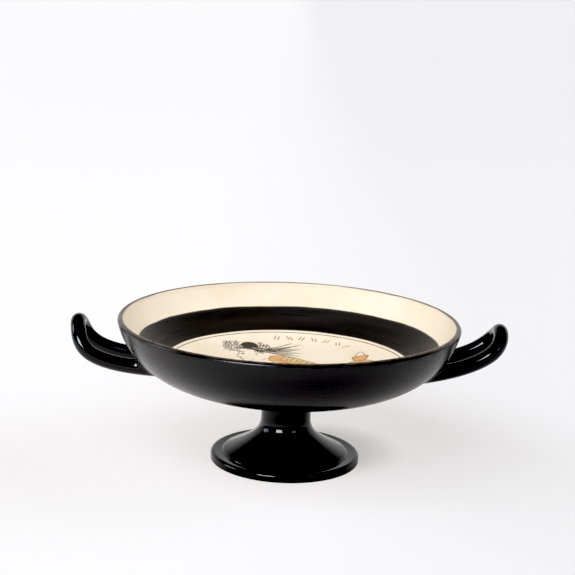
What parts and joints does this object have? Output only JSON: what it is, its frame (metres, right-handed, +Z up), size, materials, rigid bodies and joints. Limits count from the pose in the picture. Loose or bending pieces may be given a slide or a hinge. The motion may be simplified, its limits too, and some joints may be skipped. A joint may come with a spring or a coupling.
{
  "type": "kylix cup",
  "caption": "Wide shallow footed drinking cup of fired clay, with a turned stem, a stepped disc foot and upswept loop handles.",
  "frame": {"origin": "on the cup's turning axis, in the plane that the foot stands on", "axes": "+Z up along the turning axis, +X from the middle of the cup through the higher handle, the other handle at -X"},
  "size_m": [0.3062, 0.24, 0.104],
  "materials": {
    "painted_clay": "black gloss slip over fired clay, satin on the bowl and glossy on the handles, stem and foot, with cream slip inside the bowl"
  },
  "bodies": {
    "root": {"kylix_cup": "painted_clay"}
  },
  "joints": []
}
